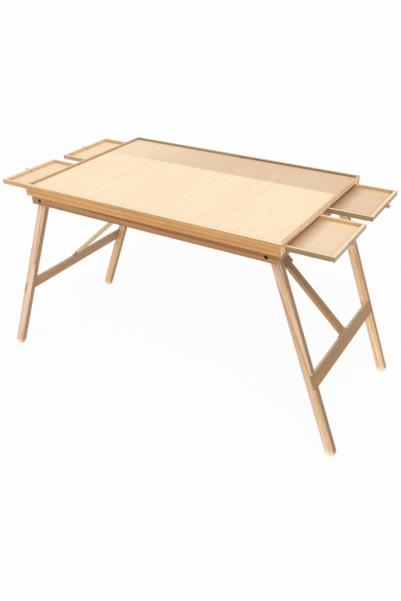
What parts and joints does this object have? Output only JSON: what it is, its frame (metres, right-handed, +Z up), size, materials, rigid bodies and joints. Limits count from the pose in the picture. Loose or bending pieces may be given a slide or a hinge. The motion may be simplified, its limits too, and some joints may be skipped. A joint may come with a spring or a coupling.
{
  "type": "jigsaw puzzle table with drawers",
  "caption": "Low rectangular wooden folding table with a raised rim around a plywood play surface, shallow tray drawers sliding out of both ends, and splayed leg frames with folding stays.",
  "frame": {"origin": "on the floor under the middle of the open table", "axes": "+X along the table's length, towards the right-hand drawers; +Y towards the back; +Z up"},
  "size_m": [1.238, 0.592, 0.657],
  "materials": {
    "pine_rails": "clear-lacquered warm pine",
    "pine_apron": "clear-lacquered pine",
    "pine_guides": "planed pine",
    "birch_ply_play_panel": "satin lacquered birch ply",
    "hardboard": "smooth brown hardboard",
    "dark_zinc_hardware": "blackened zinc",
    "pine_legs": "clear-lacquered pine",
    "pine_stays": "clear-lacquered pine",
    "pine_drawers": "planed pine",
    "birch_ply_drawer_bottoms": "thin birch ply",
    "turned_pine_knobs": "turned and lacquered pine"
  },
  "bodies": {
    "table_top": {"front_rail": "pine_rails", "back_rail": "pine_rails", "left_end_rail": "pine_rails", "right_end_rail": "pine_rails", "play_panel": "birch_ply_play_panel", "bottom_panel": "hardboard", "front_runner": "pine_guides", "back_runner": "pine_guides", "centre_divider": "pine_guides", "cross_dividers": "pine_guides", "front_apron": "pine_apron", "back_apron": "pine_apron", "left_apron": "pine_apron", "right_apron": "pine_apron", "apron_screws": "dark_zinc_hardware", "pivot_bolts": "dark_zinc_hardware", "pivot_nuts": "dark_zinc_hardware", "left_pivot_washers": "dark_zinc_hardware", "right_pivot_sleeves": "dark_zinc_hardware", "left_stay_anchor": "pine_legs", "right_stay_anchor": "pine_legs", "left_anchor_pin": "dark_zinc_hardware", "right_anchor_pin": "dark_zinc_hardware"},
    "left_leg_frame": {"left_front_leg": "pine_legs", "left_back_leg": "pine_legs", "left_stretcher": "pine_legs", "left_stretcher_screws": "dark_zinc_hardware", "left_foot_hinge": "dark_zinc_hardware"},
    "left_lower_stay": {"left_lower_slat": "pine_stays"},
    "left_upper_stay": {"left_upper_slats": "pine_stays", "left_knee_screws": "dark_zinc_hardware"},
    "right_leg_frame": {"right_front_leg": "pine_legs", "right_back_leg": "pine_legs", "right_stretcher": "pine_legs", "right_stretcher_screws": "dark_zinc_hardware", "right_foot_hinge": "dark_zinc_hardware"},
    "right_lower_stay": {"right_lower_slat": "pine_stays"},
    "right_upper_stay": {"right_upper_slats": "pine_stays", "right_knee_screws": "dark_zinc_hardware"},
    "left_front_drawer": {"left_front_drawer_front": "pine_drawers", "left_front_drawer_back": "pine_drawers", "left_front_drawer_sides": "pine_drawers", "left_front_drawer_bottom": "birch_ply_drawer_bottoms", "left_front_drawer_knob": "turned_pine_knobs"},
    "left_back_drawer": {"left_back_drawer_front": "pine_drawers", "left_back_drawer_back": "pine_drawers", "left_back_drawer_sides": "pine_drawers", "left_back_drawer_bottom": "birch_ply_drawer_bottoms", "left_back_drawer_knob": "turned_pine_knobs"},
    "right_front_drawer": {"right_front_drawer_front": "pine_drawers", "right_front_drawer_back": "pine_drawers", "right_front_drawer_sides": "pine_drawers", "right_front_drawer_bottom": "birch_ply_drawer_bottoms", "right_front_drawer_knob": "turned_pine_knobs"},
    "right_back_drawer": {"right_back_drawer_front": "pine_drawers", "right_back_drawer_back": "pine_drawers", "right_back_drawer_sides": "pine_drawers", "right_back_drawer_bottom": "birch_ply_drawer_bottoms", "right_back_drawer_knob": "turned_pine_knobs"}
  },
  "joints": [
    {"name": "left_leg_fold", "type": "hinge", "parent": "table_top", "child": "left_leg_frame", "pos_m": [-0.387, 0, 0.6085], "axis": [0, -1, 0], "range_deg": [0, 108.5]},
    {"name": "left_stay_foot", "type": "hinge", "parent": "left_leg_frame", "child": "left_lower_stay", "pos_m": [-0.51525, 0, 0.28538], "axis": [0, -1, 0], "range_deg": [0, 25.73]},
    {"name": "left_stay_top", "type": "hinge", "parent": "table_top", "child": "left_upper_stay", "pos_m": [-0.15, 0, 0.617], "axis": [0, 1, 0], "range_deg": [0, 39.54]},
    {"name": "right_leg_fold", "type": "hinge", "parent": "table_top", "child": "right_leg_frame", "pos_m": [0.387, 0, 0.6085], "axis": [0, 1, 0], "range_deg": [0, 110]},
    {"name": "right_stay_foot", "type": "hinge", "parent": "right_leg_frame", "child": "right_lower_stay", "pos_m": [0.52175, 0, 0.26752], "axis": [0, 1, 0], "range_deg": [0, 25.07]},
    {"name": "right_stay_top", "type": "hinge", "parent": "table_top", "child": "right_upper_stay", "pos_m": [0.15, 0, 0.617], "axis": [0, -1, 0], "range_deg": [0, 40.52]},
    {"name": "left_front_drawer_slide", "type": "slide", "parent": "table_top", "child": "left_front_drawer", "axis": [-1, 0, 0], "range_m": [-0.131, 0.12]},
    {"name": "left_back_drawer_slide", "type": "slide", "parent": "table_top", "child": "left_back_drawer", "axis": [-1, 0, 0], "range_m": [-0.131, 0.12]},
    {"name": "right_front_drawer_slide", "type": "slide", "parent": "table_top", "child": "right_front_drawer", "axis": [1, 0, 0], "range_m": [-0.131, 0.12]},
    {"name": "right_back_drawer_slide", "type": "slide", "parent": "table_top", "child": "right_back_drawer", "axis": [1, 0, 0], "range_m": [-0.131, 0.12]}
  ],
  "couplings": [
    {"joint": "left_stay_foot", "follows": "left_leg_fold", "ratio": 0.23717},
    {"joint": "left_stay_top", "follows": "left_leg_fold", "ratio": 0.36444},
    {"joint": "right_stay_foot", "follows": "right_leg_fold", "ratio": 0.22788},
    {"joint": "right_stay_top", "follows": "right_leg_fold", "ratio": 0.36837}
  ]
}
